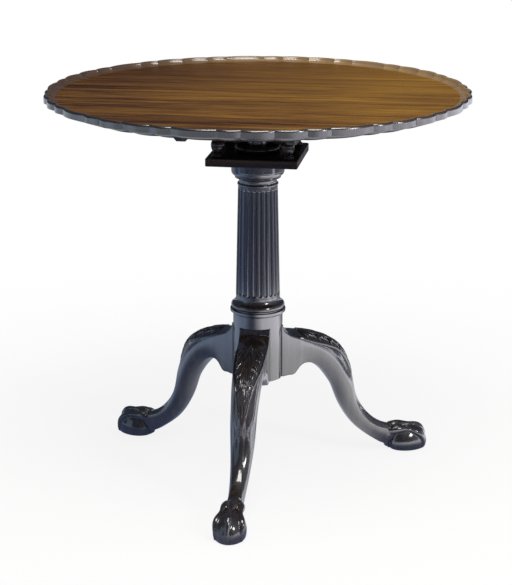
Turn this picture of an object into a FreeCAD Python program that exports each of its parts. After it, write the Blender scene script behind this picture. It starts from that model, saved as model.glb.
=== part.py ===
import FreeCAD, Part
import math
import os

# Tilt-top tea table: a scalloped tray top on a birdcage that turns, a fluted column,
# and three cabriole legs on claw-and-ball feet. Lengths are in millimetres, angles in degrees.
# The origin is on the floor under the column's axis, +Z is up and the front leg points along -Y.

# Tray top
TOP_DIAMETER = 750.0      # across the widest lobes of the rim
TABLE_HEIGHT = 717.0      # floor to the top of the rim
TOP_THICKNESS = 24.0      # rim to underside
DISH_DEPTH = 9.0          # rim to dish
EDGE_HEIGHT = 13.0        # rim to the lower corner of the outer edge
BEVEL_RUN = 32.0          # width of the bevel under the edge
BEAD_WIDTH = 8.0          # round bead on the rim
BEAD_DROP = 3.6           # crown of the bead down to its springing
COVE_RUN = 15.0           # width of the cove inside the bead
RIM_REPEATS = 9           # repeats of the scallop pattern
RIM_TURN = -7.3           # direction of the middle of one long lobe, from the front towards +X
LONG_LOBE = 11.6          # share of one repeat taken by the long lobe
SHORT_LOBE = 6.0          # share of each short lobe
MIDDLE_LOBE = 8.2         # share of each of the two middle lobes
LONG_RISE = 5.0           # swell of each lobe beyond the cusps
SHORT_RISE = 4.2
MIDDLE_RISE = 6.0

# Battens and their screws
BATTEN_WIDTH = 19.0
BATTEN_DEPTH = 26.0
BATTEN_REACH = 256.0      # middle of the batten to its end
BATTEN_END_DEPTH = 16.0   # depth left at the rounded ends
BATTEN_END_RUN = 30.0     # length of the rounding
BATTEN_EASE = 3.0         # bevel along the lower edges
BATTEN_SCREW_REACH = 165.0
WOOD_SCREW_R = 2.2
WOOD_SCREW_HEAD_R = 4.4
WOOD_SCREW_BITE = 9.0     # length held by the wood

# Birdcage
PLATE_SIDE = 162.0        # both square plates
LOWER_PLATE_T = 14.5
UPPER_PLATE_T = 14.5
PLATE_EASE = 2.5          # rounding of the corners
PLATE_ARRIS = 1.2         # bevel round the faces
CAGE_HEIGHT = 71.5        # clear height between the plates
BALUSTER_INSET = 20.0     # plate side to baluster axis
BALUSTER_BULB_R = 12.0
BALUSTER_BULB_SWELL = 2.4 # of the curve below the bulb
BALUSTER_NECK_R = 5.5
BALUSTER_NECK_HOLLOW = 2.8
BALUSTER_BEAD_R = 7.0     # springing of the beads under the bulb and over the neck
BALUSTER_BEAD_H = 3.0
BALUSTER_END_R = 10.5     # square-edged ends against the plates
BALUSTER_END_H = 4.0
BALUSTER_TENON_R = 6.0
BALUSTER_TENON_L = 9.0
PINTLE_R = 5.0

# Column, from the top down
TENON_R = 12.0            # in the upper plate
POST_R = 19.0             # through the lower plate
CAPITAL_R = 47.5
CAPITAL_FACE = 19.0       # upright face of the capital
OVOLO_HEIGHT = 10.0       # quarter round under that face
OVOLO_FOOT_R = 40.0
OVOLO_SWELL = 2.6
CAPITAL_FILLET_R = 41.2
CAPITAL_FILLET_H = 3.2
NECK_R = 34.0
NECK_COVE_H = 8.0         # cove from the fillet down to the neck
NECK_COVE_HOLLOW = 2.8
NECK_H = 1.6
ASTRAGAL_R = 37.0
ASTRAGAL_H = 4.6
SHAFT_TOP_R = 35.5
SHAFT_FOOT_R = 40.0
SHAFT_LENGTH = 205.5
FLUTES = 24
FLUTE_TOP_R = 3.8         # radius of the flute at its upper end
FLUTE_FOOT_R = 4.3
FLUTE_DEPTH = 2.5
FLUTE_MARGIN = 4.0        # plain shaft above and below the flutes
BASE_COVE_H = 12.0        # cove from the shaft out to the torus
BASE_COVE_HOLLOW = 2.4
TORUS_R = 48.6
TORUS_H = 9.6
TORUS_SPRING_R = 46.5     # edges of the torus, and the groove below it
GROOVE_H = 2.2
BASE_RING_R = 50.2
BASE_RING_H = 4.4
BASE_APOPHYGE_H = 4.0     # small cove from the ring in to the drum
BASE_APOPHYGE_HOLLOW = 1.2
DRUM_R = 45.0
DRUM_BOTTOM = 186.0       # underside of the column above the floor

# Ring and wedge on the post
RING_R = 40.0
RING_H = 12.0
WEDGE_LENGTH = 104.0
WEDGE_THICKNESS = 8.5
WEDGE_THIN = 12.0         # height at the narrow end
WEDGE_THICK = 18.0        # height at the wide end

# Legs
LEG_COUNT = 3
LEG_WIDTH = 56.0          # at the column
LEG_RISE = 101.0          # height of the leg's ear above the drum's underside
EAR_TIP = 3.0             # thickness of the ear where it ends against the drum
EAR_RUN = 27.0            # hollow sweep from the ear's tip out to the knee
EAR_DROP = 20.0
EAR_CROWN = 8.0           # crown of the upper face where the sweep meets the knee
FLAT_CROWN = 0.4          # least crown of a face
LOW_CROWN = 2.5           # most crown of a lower face
SEAT_STOCK = 1.0          # wood below the drum's underside, pared flat where the bracket lies
EAR_UNDER = 0.8           # how far the underside has run out, as a part of the upper edge's run
BELLY_AT = 0.55           # height of the widest part of a section, as a part of its depth
DOVETAIL_DEPTH = 18.0
DOVETAIL_NECK = 18.0
DOVETAIL_TAIL = 26.0
DOVETAIL_RISE = 70.0      # height of the dovetail above the drum's underside
DOVETAIL_LAP = 6.0        # how far it runs on inside the leg
FOOT_REACH = 320.0        # column axis to the front of each foot's ball
BALL_R = 25.5
BALL_LENGTH = 24.0        # straight run of the ball between its two round ends
BALL_TOE = 3.0            # how far its front end is centred beyond the reach
PAD_DROP = 4.5            # cut off under the ball to give a flat pad
TALON_R = 9.6             # knuckle at the root
TALON_TIP_R = 3.6
BONE_WAIST = 0.84         # radius of a bone between two knuckles, as a part of the knuckle's
KNUCKLES = 3
TALON_SPREAD = 58.0       # angle between the middle talon and each side one
TALON_START = 14.0        # where the front talons leave the wrist, as an angle from the top of the ball
TALON_END = 124.0         # how far each talon reaches down, as the same angle
HEEL_START = 62.0         # where the rear talon leaves the wrist
HEEL_STAND = 1.14         # the rear talon stands off the ball by this factor

# Iron bracket under the column
BRACKET_T = 3.0
BRACKET_HUB_R = 27.0
BRACKET_ARM_W = 15.0
BRACKET_ARM_REACH = 58.0  # column axis to the end of an arm
BRACKET_INNER_SCREW = 20.0
BRACKET_OUTER_SCREW = 49.0

# Brass catch at the back
STRIKE_W = 26.0
STRIKE_H = 11.0
STRIKE_T = 1.5
STRIKE_SCREW_PITCH = 19.0
PIN_R = 1.0               # small brass screws
PIN_HEAD_R = 1.9
PIN_BITE = 6.0
BOLT_W = 10.0
BOLT_T = 5.0
BOLT_LENGTH = 62.0
BOLT_TRAVEL = 9.0
BOLT_SETBACK = 1.5        # nose to the strike with the bolt drawn back
BOLT_END_GAP = 2.0        # room left beyond the nose of the shot bolt
GUIDE_LENGTH = 44.0
GUIDE_W = 34.0
GUIDE_T = 1.6
GUIDE_SETBACK = 6.0       # back of the birdcage to the guide
GUIDE_SCREW_INSET = 4.5   # side of the guide to its screws
GUIDE_LOOP_L = 9.0        # each of the two loops round the bolt
KNOB_R = 5.5              # round end of the knob, and its flange
KNOB_HEIGHT = 16.0
KNOB_FLANGE = 1.5         # edge under the bolt
KNOB_NECK_R = 3.1
KNOB_STEM_R = 2.5
KNOB_AT = 28.0            # nose of the bolt to the knob

# Clearances
SEAT_GAP = 0.3            # between faces that part or turn on each other
RUN_GAP = 0.08            # radial, round pins and posts that turn
SLIDE_GAP = 0.25          # each side of the bolt
JOINT_GAP = 0.1           # each side of a glued or driven joint
BATTEN_GAP = 1.5          # between the birdcage and each batten

# Levels and places worked out from the sizes above
TOP_R = TOP_DIAMETER / 2
UNDERSIDE = TABLE_HEIGHT - TOP_THICKNESS
UPPER_TOP = UNDERSIDE - SEAT_GAP
UPPER_BOTTOM = UPPER_TOP - UPPER_PLATE_T
LOWER_TOP = UPPER_BOTTOM - CAGE_HEIGHT
LOWER_BOTTOM = LOWER_TOP - LOWER_PLATE_T
CAPITAL_TOP = LOWER_BOTTOM - SEAT_GAP
HALF_PLATE = PLATE_SIDE / 2
HINGE_Y = UPPER_PLATE_T / 2 - HALF_PLATE
HINGE_Z = UPPER_TOP - UPPER_PLATE_T / 2
BATTEN_IN = HALF_PLATE + BATTEN_GAP
BALUSTER_AT = HALF_PLATE - BALUSTER_INSET
RING_BOTTOM = LOWER_TOP + SEAT_GAP
RING_TOP = RING_BOTTOM + RING_H
LEG_FLAT = math.sqrt(DRUM_R ** 2 - (LEG_WIDTH / 2) ** 2)
EAR_TOP = DRUM_BOTTOM + LEG_RISE - FLAT_CROWN
BALL_Z = BALL_R - PAD_DROP
TOE_AT = FOOT_REACH + BALL_TOE
HEEL_AT = TOE_AT - BALL_LENGTH
BOLT_Z = UNDERSIDE - GUIDE_T - SLIDE_GAP - BOLT_T / 2
BOLT_START = HALF_PLATE + BOLT_SETBACK
GUIDE_START = HALF_PLATE + GUIDE_SETBACK
KNOB_Y = BOLT_START + KNOB_AT
Y_AXIS = FreeCAD.Vector(0, 1, 0)
Z_AXIS = FreeCAD.Vector(0, 0, 1)
ORIGIN = FreeCAD.Vector(0, 0, 0)
HALF_TURN = FreeCAD.Rotation(Z_AXIS, 180)


def vec(x, y, z):
    return FreeCAD.Vector(x, y, z)


def box(x0, x1, y0, y1, z0, z1):
    return Part.makeBox(x1 - x0, y1 - y0, z1 - z0, vec(x0, y0, z0))


def cylinder(radius, start, end):
    """Round bar from one point to another."""
    along = end - start
    return Part.makeCylinder(radius, along.Length, start, along)


def arc(start, through, end):
    return Part.Arc(start, through, end).toShape()


def line(start, end):
    return Part.makeLine(start, end)


def fused(shapes):
    """One clean solid from pieces that overlap."""
    return shapes[0].multiFuse(shapes[1:]).removeSplitter()


def turned(edges):
    """Solid of revolution about Z from a closed outline in the XZ plane."""
    return Part.Face(Part.Wire(Part.__sortEdges__(edges))).revolve(ORIGIN, Z_AXIS, 360)


class Profile:
    """Outline drawn from point to point in the XZ plane, as radius and height."""

    def __init__(self, radius, height):
        self.at = vec(radius, 0, height)
        self.start = self.at
        self.edges = []

    def to(self, radius, height):
        end = vec(radius, 0, height)
        self.edges.append(line(self.at, end))
        self.at = end
        return self

    def bend(self, radius, height, bulge):
        """Arc whose middle stands off the chord by the bulge, to the right of the way it is drawn."""
        end = vec(radius, 0, height)
        chord = end - self.at
        side = vec(chord.z, 0, -chord.x).normalize()
        self.edges.append(arc(self.at, (self.at + end) / 2 + side * bulge, end))
        self.at = end
        return self

    def turn(self):
        self.edges.append(line(self.at, self.start))
        return turned(self.edges)


def screw(head_r, shank_r, length, head_at, pointing):
    """Countersunk wood screw with its flat head at a point, and its clearance hole."""
    cone_h = head_r - shank_r
    tip_h = 2 * shank_r
    tip_r = shank_r / 3

    def body(gap):
        outline = Profile(0, 0).to(head_r + gap, 0).to(shank_r + gap, cone_h)
        outline.to(shank_r + gap, length - tip_h).to(tip_r + gap, length).to(0, length)
        return outline.turn()

    turn = FreeCAD.Rotation(Z_AXIS, pointing)
    placement = FreeCAD.Placement(head_at, turn)
    slot = box(-head_r, head_r, -head_r / 8, head_r / 8, 0, cone_h / 2)
    piece = body(0).cut(slot)
    hole = body(JOINT_GAP)
    piece.Placement = placement
    hole.Placement = placement
    return piece, hole


# Tray top

def lobes():
    """Angle at which each lobe of the rim starts and ends, with its swell."""
    pattern = [(LONG_LOBE, LONG_RISE), (SHORT_LOBE, SHORT_RISE), (MIDDLE_LOBE, MIDDLE_RISE),
               (MIDDLE_LOBE, MIDDLE_RISE), (SHORT_LOBE, SHORT_RISE)]
    unit = 360 / RIM_REPEATS / sum(share for share, rise in pattern)
    angle = RIM_TURN - LONG_LOBE * unit / 2
    for repeat in range(RIM_REPEATS):
        for share, rise in pattern:
            yield angle, angle + share * unit, rise
            angle += share * unit


def rim_outline(inset, height):
    """Closed wire of lobes, parallel to the edge of the top."""
    root = TOP_R - max(LONG_RISE, SHORT_RISE, MIDDLE_RISE) - inset

    def at(radius, angle):
        turn = math.radians(angle)
        return vec(radius * math.sin(turn), -radius * math.cos(turn), height)

    edges = []
    for start, end, rise in lobes():
        middle = at(root + rise, (start + end) / 2)
        edges.append(arc(at(root, start), middle, at(root, end)))
    return Part.Wire(edges)


def tray_top():
    """One board: bevelled under its edge, with a bead and a cove round the dish."""
    bead = []
    for turn in map(math.radians, (0, 45, 90, 135, 180)):
        inset = BEAD_WIDTH / 2 * (1 - math.cos(turn))
        bead.append(rim_outline(inset, TABLE_HEIGHT - BEAD_DROP * (1 - math.sin(turn))))
    cove = []
    for turn in map(math.radians, (0, 30, 60, 90)):
        inset = BEAD_WIDTH + COVE_RUN * (1 - math.cos(turn))
        drop = BEAD_DROP + (DISH_DEPTH - BEAD_DROP) * math.sin(turn)
        cove.append(rim_outline(inset, TABLE_HEIGHT - drop))
    corner = rim_outline(0, TABLE_HEIGHT - EDGE_HEIGHT)
    under = rim_outline(BEVEL_RUN, UNDERSIDE)
    faces = [Part.Face(under), Part.Face(cove[-1])]
    stretches = (([under, corner], True), ([corner, bead[0]], True), (bead, False), (cove, False))
    for wires, straight in stretches:
        faces += Part.makeLoft(wires, False, straight).Faces
    shell = Part.makeShell(faces)
    shell.sewShape()
    top = Part.makeSolid(shell)
    if top.Volume < 0:
        top.reverse()
    return top


def batten(side):
    """Bar across the grain with rounded ends, bored for a pintle."""
    low = UNDERSIDE - BATTEN_DEPTH
    end_low = UNDERSIDE - BATTEN_END_DEPTH
    x0 = side * BATTEN_IN
    x1 = x0 + side * BATTEN_WIDTH
    shoulder = BATTEN_REACH - BATTEN_END_RUN
    sweep = 2 * math.atan2(end_low - low, BATTEN_END_RUN)
    radius = BATTEN_END_RUN / math.sin(sweep)

    def edge_curve(sign):
        run = radius * math.sin(sweep / 2)
        rise = radius * (1 - math.cos(sweep / 2))
        middle = vec(x0, sign * (shoulder + run), low + rise)
        return arc(vec(x0, sign * shoulder, low), middle, vec(x0, sign * BATTEN_REACH, end_low))

    edges = [line(vec(x0, -BATTEN_REACH, UNDERSIDE), vec(x0, BATTEN_REACH, UNDERSIDE)),
             line(vec(x0, BATTEN_REACH, UNDERSIDE), vec(x0, BATTEN_REACH, end_low)),
             edge_curve(1),
             line(vec(x0, shoulder, low), vec(x0, -shoulder, low)),
             edge_curve(-1),
             line(vec(x0, -BATTEN_REACH, end_low), vec(x0, -BATTEN_REACH, UNDERSIDE))]
    bar = Part.Face(Part.Wire(Part.__sortEdges__(edges))).extrude(vec(x1 - x0, 0, 0))
    long_edges = [e for e in bar.Edges if abs(e.BoundBox.YLength - 2 * shoulder) < 0.01]
    bar = bar.makeChamfer(BATTEN_EASE, long_edges)
    bore = cylinder(PINTLE_R + RUN_GAP, vec(x0, HINGE_Y, HINGE_Z), vec(x1, HINGE_Y, HINGE_Z))
    return bar.cut(bore)


def batten_screw_pairs():
    middle = BATTEN_IN + BATTEN_WIDTH / 2
    rows = (-BATTEN_SCREW_REACH, 0, BATTEN_SCREW_REACH)
    heads = [vec(x, y, UNDERSIDE - BATTEN_DEPTH) for x in (-middle, middle) for y in rows]
    length = BATTEN_DEPTH + WOOD_SCREW_BITE
    return [screw(WOOD_SCREW_HEAD_R, WOOD_SCREW_R, length, head, Z_AXIS) for head in heads]


# Birdcage

def plate(bottom, thickness):
    """Square plate with rounded corners and eased faces."""
    blank = box(-HALF_PLATE, HALF_PLATE, -HALF_PLATE, HALF_PLATE, bottom, bottom + thickness)
    corners = [e for e in blank.Edges if e.BoundBox.ZLength > thickness / 2]
    blank = blank.makeFillet(PLATE_EASE, corners)
    flat = [e for e in blank.Edges if e.BoundBox.ZLength < thickness / 2]
    return blank.makeChamfer(PLATE_ARRIS, flat)


def baluster_places():
    return {"front_left": (-BALUSTER_AT, -BALUSTER_AT), "front_right": (BALUSTER_AT, -BALUSTER_AT),
            "back_left": (-BALUSTER_AT, BALUSTER_AT), "back_right": (BALUSTER_AT, BALUSTER_AT)}


def baluster_sockets(start, end):
    gap = BALUSTER_TENON_R + JOINT_GAP
    return [cylinder(gap, vec(x, y, start), vec(x, y, end)) for x, y in baluster_places().values()]


def lower_plate():
    bore = cylinder(POST_R + RUN_GAP, vec(0, 0, LOWER_BOTTOM), vec(0, 0, LOWER_TOP))
    sockets = baluster_sockets(LOWER_TOP - BALUSTER_TENON_L - JOINT_GAP, LOWER_TOP)
    return plate(LOWER_BOTTOM, LOWER_PLATE_T).cut([bore] + sockets)


def upper_plate():
    """Plate rounded along its front edge, where the pintles stand out at both ends."""
    half = UPPER_PLATE_T / 2
    x0 = -HALF_PLATE
    edges = [line(vec(x0, HINGE_Y, UPPER_TOP), vec(x0, HALF_PLATE, UPPER_TOP)),
             line(vec(x0, HALF_PLATE, UPPER_TOP), vec(x0, HALF_PLATE, UPPER_BOTTOM)),
             line(vec(x0, HALF_PLATE, UPPER_BOTTOM), vec(x0, HINGE_Y, UPPER_BOTTOM)),
             arc(vec(x0, HINGE_Y, UPPER_BOTTOM), vec(x0, HINGE_Y - half, HINGE_Z),
                 vec(x0, HINGE_Y, UPPER_TOP))]
    slab = Part.Face(Part.Wire(edges)).extrude(vec(PLATE_SIDE, 0, 0))
    reach = BATTEN_IN + BATTEN_WIDTH
    pintles = cylinder(PINTLE_R, vec(-reach, HINGE_Y, HINGE_Z), vec(reach, HINGE_Y, HINGE_Z))
    bore = cylinder(TENON_R + RUN_GAP, vec(0, 0, UPPER_BOTTOM), vec(0, 0, UPPER_TOP))
    sockets = baluster_sockets(UPPER_BOTTOM, UPPER_BOTTOM + BALUSTER_TENON_L + JOINT_GAP)
    recess = box(-STRIKE_W / 2 - JOINT_GAP, STRIKE_W / 2 + JOINT_GAP,
                 HALF_PLATE - STRIKE_T, HALF_PLATE, UPPER_TOP - STRIKE_H - JOINT_GAP, UPPER_TOP)
    pocket_end = HALF_PLATE + BOLT_SETBACK - BOLT_TRAVEL - BOLT_END_GAP
    pocket = box(-BOLT_W / 2 - SLIDE_GAP, BOLT_W / 2 + SLIDE_GAP, pocket_end, HALF_PLATE,
                 BOLT_Z - BOLT_T / 2 - SLIDE_GAP, BOLT_Z + BOLT_T / 2 + SLIDE_GAP)
    holes = [hole for piece, hole in strike_screw_pairs()]
    return fused([slab, pintles]).cut([bore, recess, pocket] + sockets + holes)


def baluster(x, y):
    """Vase-shaped turning with a round tenon at each end."""
    top = LOWER_TOP + CAGE_HEIGHT
    low_bead = LOWER_TOP + BALUSTER_END_H
    vase = low_bead + BALUSTER_BEAD_H
    high_bead = top - BALUSTER_END_H - 2 * BALUSTER_BEAD_H
    bulb = vase + (high_bead - vase) / 3
    low_end = LOWER_TOP - BALUSTER_TENON_L
    outline = Profile(0, low_end).to(BALUSTER_TENON_R, low_end)
    outline.to(BALUSTER_TENON_R, LOWER_TOP).to(BALUSTER_END_R, LOWER_TOP)
    outline.to(BALUSTER_END_R, low_bead).to(BALUSTER_BEAD_R, low_bead)
    outline.bend(BALUSTER_BEAD_R, vase, BALUSTER_BEAD_H / 2)
    outline.bend(BALUSTER_BULB_R, bulb, BALUSTER_BULB_SWELL)
    outline.bend(BALUSTER_NECK_R, high_bead, -BALUSTER_NECK_HOLLOW)
    outline.to(BALUSTER_BEAD_R, high_bead)
    outline.bend(BALUSTER_BEAD_R, high_bead + BALUSTER_BEAD_H, BALUSTER_BEAD_H / 2)
    outline.to(BALUSTER_NECK_R, high_bead + BALUSTER_BEAD_H).to(BALUSTER_NECK_R, top - BALUSTER_END_H)
    outline.to(BALUSTER_END_R, top - BALUSTER_END_H).to(BALUSTER_END_R, top)
    outline.to(BALUSTER_TENON_R, top).to(BALUSTER_TENON_R, top + BALUSTER_TENON_L)
    turning = outline.to(0, top + BALUSTER_TENON_L).turn()
    turning.translate(vec(x, y, 0))
    return turning


# Column and what it carries

def leg_placement(index):
    """Turns a piece drawn along +X to the direction of one leg, the front one first."""
    return FreeCAD.Rotation(Z_AXIS, -90 + index * 360 / LEG_COUNT)


def placed(shape, index):
    copy = shape.copy()
    copy.Placement = FreeCAD.Placement(ORIGIN, leg_placement(index))
    return copy


def dovetail(gap, reach):
    """Sliding dovetail, drawn along +X from its wide tail to beyond the drum's flat."""
    tail = LEG_FLAT - DOVETAIL_DEPTH - gap
    rise = DRUM_BOTTOM + DOVETAIL_RISE + gap
    corners = [(tail, DOVETAIL_TAIL / 2 + gap), (LEG_FLAT, DOVETAIL_NECK / 2 + gap),
               (reach, DOVETAIL_NECK / 2 + gap)]
    points = [vec(x, y, DRUM_BOTTOM) for x, y in corners]
    points += [vec(x, -y, DRUM_BOTTOM) for x, y in reversed(corners)]
    face = Part.Face(Part.makePolygon(points + points[:1]))
    return face.extrude(vec(0, 0, rise - DRUM_BOTTOM))


def column_blank():
    """The whole turning, from the underside of the drum to the tip of the post."""
    shoulder = UPPER_BOTTOM - SEAT_GAP
    z = CAPITAL_TOP - CAPITAL_FACE
    outline = Profile(0, UPPER_TOP - SEAT_GAP).to(TENON_R, UPPER_TOP - SEAT_GAP)
    outline.to(TENON_R, shoulder).to(POST_R, shoulder).to(POST_R, CAPITAL_TOP)
    outline.to(CAPITAL_R, CAPITAL_TOP).to(CAPITAL_R, z)
    z -= OVOLO_HEIGHT
    outline.bend(OVOLO_FOOT_R, z, -OVOLO_SWELL)
    outline.to(CAPITAL_FILLET_R, z).to(CAPITAL_FILLET_R, z - CAPITAL_FILLET_H)
    z -= CAPITAL_FILLET_H + NECK_COVE_H
    outline.bend(NECK_R, z, NECK_COVE_HOLLOW)
    z -= NECK_H
    outline.to(NECK_R, z).bend(NECK_R, z - ASTRAGAL_H, NECK_R - ASTRAGAL_R)
    z -= ASTRAGAL_H
    outline.to(SHAFT_TOP_R, z)
    z -= SHAFT_LENGTH
    outline.to(SHAFT_FOOT_R, z)
    z -= BASE_COVE_H
    outline.bend(TORUS_SPRING_R, z, BASE_COVE_HOLLOW)
    outline.bend(TORUS_SPRING_R, z - TORUS_H, TORUS_SPRING_R - TORUS_R)
    z -= TORUS_H + GROOVE_H
    outline.to(TORUS_SPRING_R, z).to(BASE_RING_R, z).to(BASE_RING_R, z - BASE_RING_H)
    z -= BASE_RING_H
    outline.bend(DRUM_R, z - BASE_APOPHYGE_H, BASE_APOPHYGE_HOLLOW)
    outline.to(DRUM_R, DRUM_BOTTOM).to(0, DRUM_BOTTOM)
    return outline.turn()


def shaft_levels():
    """Heights of the top and the foot of the fluted shaft."""
    above = CAPITAL_FACE + OVOLO_HEIGHT + CAPITAL_FILLET_H + NECK_COVE_H + NECK_H + ASTRAGAL_H
    top = CAPITAL_TOP - above
    return top, top - SHAFT_LENGTH


def flutes():
    """Round-ended hollows that follow the taper of the shaft."""
    top, foot = shaft_levels()

    def middle(z, radius):
        part = (top - z) / (top - foot)
        surface = SHAFT_TOP_R + part * (SHAFT_FOOT_R - SHAFT_TOP_R)
        return vec(surface + radius - FLUTE_DEPTH, 0, z)

    upper = middle(top - FLUTE_MARGIN - FLUTE_TOP_R, FLUTE_TOP_R)
    lower = middle(foot + FLUTE_MARGIN + FLUTE_FOOT_R, FLUTE_FOOT_R)
    along = upper - lower
    body = Part.makeCone(FLUTE_FOOT_R, FLUTE_TOP_R, along.Length, lower, along)
    ends = [Part.makeSphere(FLUTE_TOP_R, upper), Part.makeSphere(FLUTE_FOOT_R, lower)]
    cutter = fused([body] + ends)
    cutters = []
    for index in range(FLUTES):
        copy = cutter.copy()
        copy.rotate(ORIGIN, Z_AXIS, 360 * index / FLUTES)
        cutters.append(copy)
    return cutters


def leg_seat():
    """Cutter for one flat on the drum, square at its upper end."""
    return box(LEG_FLAT, 2 * DRUM_R, -LEG_WIDTH, LEG_WIDTH, 0, EAR_TOP + JOINT_GAP)


def wedge_outline(gap):
    """Side view of the wedge, flat below and sloping above, through the post."""
    half = WEDGE_LENGTH / 2
    points = [vec(-half, 0, RING_TOP), vec(half, 0, RING_TOP),
              vec(half, 0, RING_TOP + WEDGE_THICK + gap), vec(-half, 0, RING_TOP + WEDGE_THIN + gap)]
    wide = WEDGE_THICKNESS + 2 * gap
    blank = Part.Face(Part.makePolygon(points + points[:1])).extrude(vec(0, wide, 0))
    blank.translate(vec(0, -wide / 2, 0))
    return blank


def column():
    cutters = flutes() + [wedge_outline(JOINT_GAP)]
    for index in range(LEG_COUNT):
        cutters.append(placed(leg_seat(), index))
        cutters.append(placed(dovetail(JOINT_GAP, DRUM_R), index))
    cutters += [hole for piece, hole in bracket_screw_pairs()]
    return column_blank().cut(cutters)


def collar_ring():
    """Turned ring on the post, with a rounded outer edge."""
    inner = POST_R + SEAT_GAP
    ease = RING_H / 4
    outline = Profile(inner, RING_BOTTOM).to(RING_R - ease, RING_BOTTOM)
    outline.bend(RING_R - ease, RING_TOP, ease).to(inner, RING_TOP)
    return outline.turn()


# Legs

# Each station of a leg gives its upper and lower edge in the leg's own plane, as distance out and height,
# then the width of its upper face, of its belly and of its lower face, and the crown of the upper face.
# The first group is measured from the drum's flat and underside, the second from the foot and the floor.
KNEE_STATIONS = (
    (50.0, 77.0, 38.0, 12.0, 55.5, 56.2, 52.0, 12.5),
    (77.0, 69.0, 55.0, 17.0, 54.0, 55.4, 45.0, 15.0),
    (105.0, 56.0, 72.0, 10.0, 49.0, 53.6, 37.0, 14.0),
    (127.0, 38.0, 88.0, -4.0, 38.0, 51.0, 29.0, 11.0),
    (141.0, 14.0, 103.0, -24.0, 24.0, 48.0, 23.0, 7.0),
)
FOOT_STATIONS = (
    (-131.0, 166.0, -171.0, 143.0, 14.0, 46.0, 20.0, 3.4),
    (-123.0, 128.0, -160.0, 115.0, 12.0, 43.0, 18.0, 2.4),
    (-110.0, 100.0, -145.0, 87.0, 12.0, 38.0, 16.0, 1.8),
    (-90.0, 76.0, -122.0, 58.0, 15.0, 33.0, 15.0, 1.4),
    (-65.0, 59.0, -87.0, 30.0, 20.0, 29.0, 15.0, 1.2),
    (-42.0, 52.0, -57.0, 14.0, 24.0, 28.0, 17.0, 2.0),
    (-18.0, 53.5, -30.0, 16.0, 25.0, 29.0, 18.0, 3.0),
    (3.0, 53.0, -8.0, 20.0, 24.0, 27.0, 18.0, 4.0),
    (20.0, 43.0, 10.0, 24.0, 16.0, 20.0, 14.0, 4.0),
)


def ear_stations():
    """Stations of the hollow sweep from the ear's tip to the knee, above the flat underside."""
    belly = LEG_WIDTH + FLAT_CROWN
    stations = [(0.0, LEG_RISE, 0.0, -SEAT_STOCK, LEG_WIDTH, belly, LEG_WIDTH, FLAT_CROWN)]
    for turn in (0, 22.5, 45, 67.5, 90):
        run = 1 - math.cos(math.radians(turn))
        out = EAR_TIP + EAR_RUN * run
        rise = LEG_RISE - EAR_DROP * math.sin(math.radians(turn))
        crown = FLAT_CROWN + EAR_CROWN * run
        stations.append((out, rise, EAR_UNDER * out, -SEAT_STOCK, LEG_WIDTH, belly, LEG_WIDTH, crown))
    return stations


def leg_section(out_u, up_u, out_l, up_l, face_w, belly_w, low_w, crown):
    """Closed section of the leg through its upper and lower edges."""
    upper = vec(out_u, 0, up_u)
    lower = vec(out_l, 0, up_l)
    rise = (upper - lower).normalize()
    low_crown = min(crown / 2, LOW_CROWN)
    left = upper - rise * crown + Y_AXIS * (face_w / 2)
    right = upper - rise * crown - Y_AXIS * (face_w / 2)
    low_left = lower + rise * low_crown + Y_AXIS * (low_w / 2)
    low_right = lower + rise * low_crown - Y_AXIS * (low_w / 2)
    belly = lower + (upper - lower) * BELLY_AT
    return Part.Wire([arc(left, upper, right),
                      arc(right, belly - Y_AXIS * (belly_w / 2), low_right),
                      arc(low_right, lower, low_left),
                      arc(low_left, belly + Y_AXIS * (belly_w / 2), left)])


def leg_body():
    """The cabriole curve from the drum to the foot, lofted through its stations."""
    sections = []
    for out_u, up_u, out_l, up_l, *sizes in ear_stations() + list(KNEE_STATIONS):
        sections.append(leg_section(LEG_FLAT + out_u, DRUM_BOTTOM + up_u,
                                    LEG_FLAT + out_l, DRUM_BOTTOM + up_l, *sizes))
    for out_u, up_u, out_l, up_l, *sizes in FOOT_STATIONS:
        sections.append(leg_section(FOOT_REACH + out_u, up_u, FOOT_REACH + out_l, up_l, *sizes))
    return Part.makeLoft(sections, True, False)


def ball():
    """Ball held by the claw, drawn out along the leg, with its seam below."""
    slope = BALL_R * math.sqrt(0.5)
    heel = vec(HEEL_AT - BALL_R, 0, BALL_Z)
    heel_low = vec(HEEL_AT, 0, BALL_Z - BALL_R)
    toe_low = vec(TOE_AT, 0, BALL_Z - BALL_R)
    toe = vec(TOE_AT + BALL_R, 0, BALL_Z)
    edges = [arc(heel, vec(HEEL_AT - slope, 0, BALL_Z - slope), heel_low),
             line(heel_low, toe_low),
             arc(toe_low, vec(TOE_AT + slope, 0, BALL_Z - slope), toe),
             line(toe, heel)]
    half = Part.Face(Part.Wire(edges))
    return half.revolve(heel, toe - heel, 360)


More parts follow.
